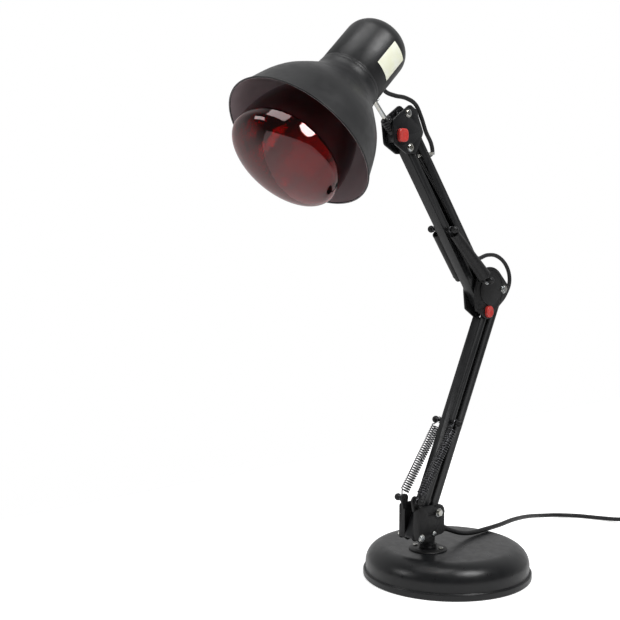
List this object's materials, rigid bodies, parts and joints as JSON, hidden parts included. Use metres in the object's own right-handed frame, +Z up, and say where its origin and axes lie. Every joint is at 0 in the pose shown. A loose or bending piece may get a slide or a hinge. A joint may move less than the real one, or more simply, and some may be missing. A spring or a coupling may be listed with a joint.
{
  "type": "infrared heat lamp",
  "caption": "Desk-top infrared heat lamp: weighted round base, swivelling spring-balanced double-bar arm and a bell shade with a ruby reflector bulb.",
  "frame": {"origin": "on the floor, at the middle of the round base's foam pad", "axes": "+Z up, the head looks along -Y, and the side of the arm with the red caps is +X"},
  "size_m": [0.3599, 0.6648, 0.6397],
  "materials": {
    "black_painted_steel": "satin black powder coat",
    "black_painted_aluminium": "satin black paint on spun aluminium",
    "black_plastic": "moulded, fine texture",
    "red_plastic": "semi-gloss red",
    "zinc_steel": "bright zinc",
    "spring_steel": "dark oiled wire",
    "ruby_glass": "ruby glass, silvered inside behind its widest ring",
    "lamp_cap_brass": "nickel-plated brass",
    "ceramic": "glazed ceramic",
    "cast_iron": "raw casting",
    "foam_pad": "closed-cell foam",
    "cord_black": "matt flexible jacket"
  },
  "bodies": {
    "base": {"base_shell": "black_painted_steel", "base_weight": "cast_iron", "base_bottom_plate": "zinc_steel", "base_pad": "foam_pad", "escutcheon_ring": "black_plastic", "escutcheon_screw_1": "zinc_steel", "escutcheon_screw_2": "zinc_steel", "post_socket": "zinc_steel", "mains_cord": "cord_black", "cord_switch_housing": "black_plastic", "cord_link": "cord_black", "cord_coil": "cord_black", "plug": "black_plastic"},
    "rocker": {"cord_switch_rocker": "black_plastic"},
    "swivel": {"post": "black_painted_steel", "swivel_block": "black_painted_steel", "bracket_cheek_near": "black_plastic", "bracket_cheek_far": "black_plastic", "cheek_bolt": "zinc_steel", "lower_front_pivot_bolt": "zinc_steel", "lower_rear_pivot_bolt": "zinc_steel", "anchor_stud_near": "black_plastic", "anchor_stud_far": "black_plastic", "cord_relief": "cord_black"},
    "lower_front": {"lower_front_bar": "black_painted_steel", "lower_peg_rod": "black_plastic", "lower_spring_near": "spring_steel", "lower_spring_far": "spring_steel"},
    "lower_rear": {"lower_rear_bar": "black_painted_steel"},
    "elbow": {"elbow_plate_near": "black_plastic", "elbow_plate_far": "black_plastic", "elbow_main_bolt": "zinc_steel", "elbow_rear_bolt": "zinc_steel", "elbow_upper_bolt": "zinc_steel", "elbow_stud_near": "black_plastic", "elbow_stud_far": "black_plastic"},
    "elbow_cap": {"elbow_knob": "red_plastic"},
    "upper_front": {"upper_front_bar": "black_painted_steel", "upper_peg_rod": "black_plastic", "upper_sleeve_near": "black_plastic", "upper_sleeve_far": "black_plastic", "upper_spring_near": "spring_steel", "upper_spring_far": "spring_steel"},
    "upper_rear": {"upper_rear_bar": "black_painted_steel", "lead": "cord_black"},
    "head_bracket": {"head_plate_near": "black_painted_steel", "head_plate_far": "black_painted_steel", "head_low_bolt": "zinc_steel", "head_up_bolt": "zinc_steel"},
    "yoke": {"head_hub": "black_painted_steel", "head_tilt_bolt": "zinc_steel"},
    "head_cap": {"head_knob": "red_plastic"},
    "head": {"stem": "zinc_steel", "lamp_cover": "black_painted_aluminium", "shade": "black_painted_aluminium", "lamp_holder": "ceramic", "bulb_glass": "ruby_glass", "bulb_cap": "lamp_cap_brass", "cover_screw": "zinc_steel"}
  },
  "joints": [
    {"name": "post_swivel", "type": "hinge", "parent": "base", "child": "swivel", "pos_m": [0, -0.034, 0.057], "axis": [0, 0, 1], "range_deg": [-135, 135]},
    {"name": "lower_arm_swing", "type": "hinge", "parent": "swivel", "child": "lower_rear", "pos_m": [0, -0.033, 0.0845], "axis": [1, 0, 0], "range_deg": [-7, 50]},
    {"name": "lower_front_follow", "type": "hinge", "parent": "swivel", "child": "lower_front", "pos_m": [0, -0.0625, 0.059], "axis": [1, 0, 0], "range_deg": [-7, 50], "deforming": ["lower_spring_near", "lower_spring_far"]},
    {"name": "elbow_level", "type": "hinge", "parent": "lower_rear", "child": "elbow", "pos_m": [0, 0.0881, 0.3384], "axis": [1, 0, 0], "range_deg": [-50, 7]},
    {"name": "upper_arm_swing", "type": "hinge", "parent": "elbow", "child": "upper_rear", "pos_m": [0, 0.0551, 0.3504], "axis": [1, 0, 0], "range_deg": [-13, 50], "deforming": ["lead"]},
    {"name": "upper_front_follow", "type": "hinge", "parent": "elbow", "child": "upper_front", "pos_m": [0, 0.0586, 0.3129], "axis": [1, 0, 0], "range_deg": [-13, 50], "deforming": ["upper_spring_near", "upper_spring_far", "upper_sleeve_near", "upper_sleeve_far"]},
    {"name": "head_level", "type": "hinge", "parent": "upper_rear", "child": "head_bracket", "pos_m": [0, -0.08271, 0.54148], "axis": [1, 0, 0], "range_deg": [-50, 13]},
    {"name": "head_tilt", "type": "hinge", "parent": "head_bracket", "child": "yoke", "pos_m": [0, -0.09381, 0.51698], "axis": [1, 0, 0], "range_deg": [-40, 50]},
    {"name": "head_turn", "type": "hinge", "parent": "yoke", "child": "head", "pos_m": [0, -0.09381, 0.51698], "axis": [0, -0.682, 0.7314], "range_deg": [-90, 90]},
    {"name": "elbow_cap_turn", "type": "hinge", "parent": "elbow", "child": "elbow_cap", "pos_m": [0, 0.0586, 0.3129], "axis": [1, 0, 0], "range_deg": [-180, 180]},
    {"name": "head_cap_turn", "type": "hinge", "parent": "head_bracket", "child": "head_cap", "pos_m": [0, -0.09381, 0.51698], "axis": [1, 0, 0], "range_deg": [-180, 180]},
    {"name": "switch_rocker", "type": "hinge", "parent": "base", "child": "rocker", "pos_m": [0.0683, 0.349, 0.016], "axis": [0, -1, 0], "range_deg": [0, 16]}
  ],
  "couplings": [
    {"joint": "lower_front_follow", "follows": "lower_arm_swing", "ratio": 1},
    {"joint": "elbow_level", "follows": "lower_arm_swing", "ratio": -1},
    {"joint": "upper_front_follow", "follows": "upper_arm_swing", "ratio": 1},
    {"joint": "head_level", "follows": "upper_arm_swing", "ratio": -1}
  ]
}
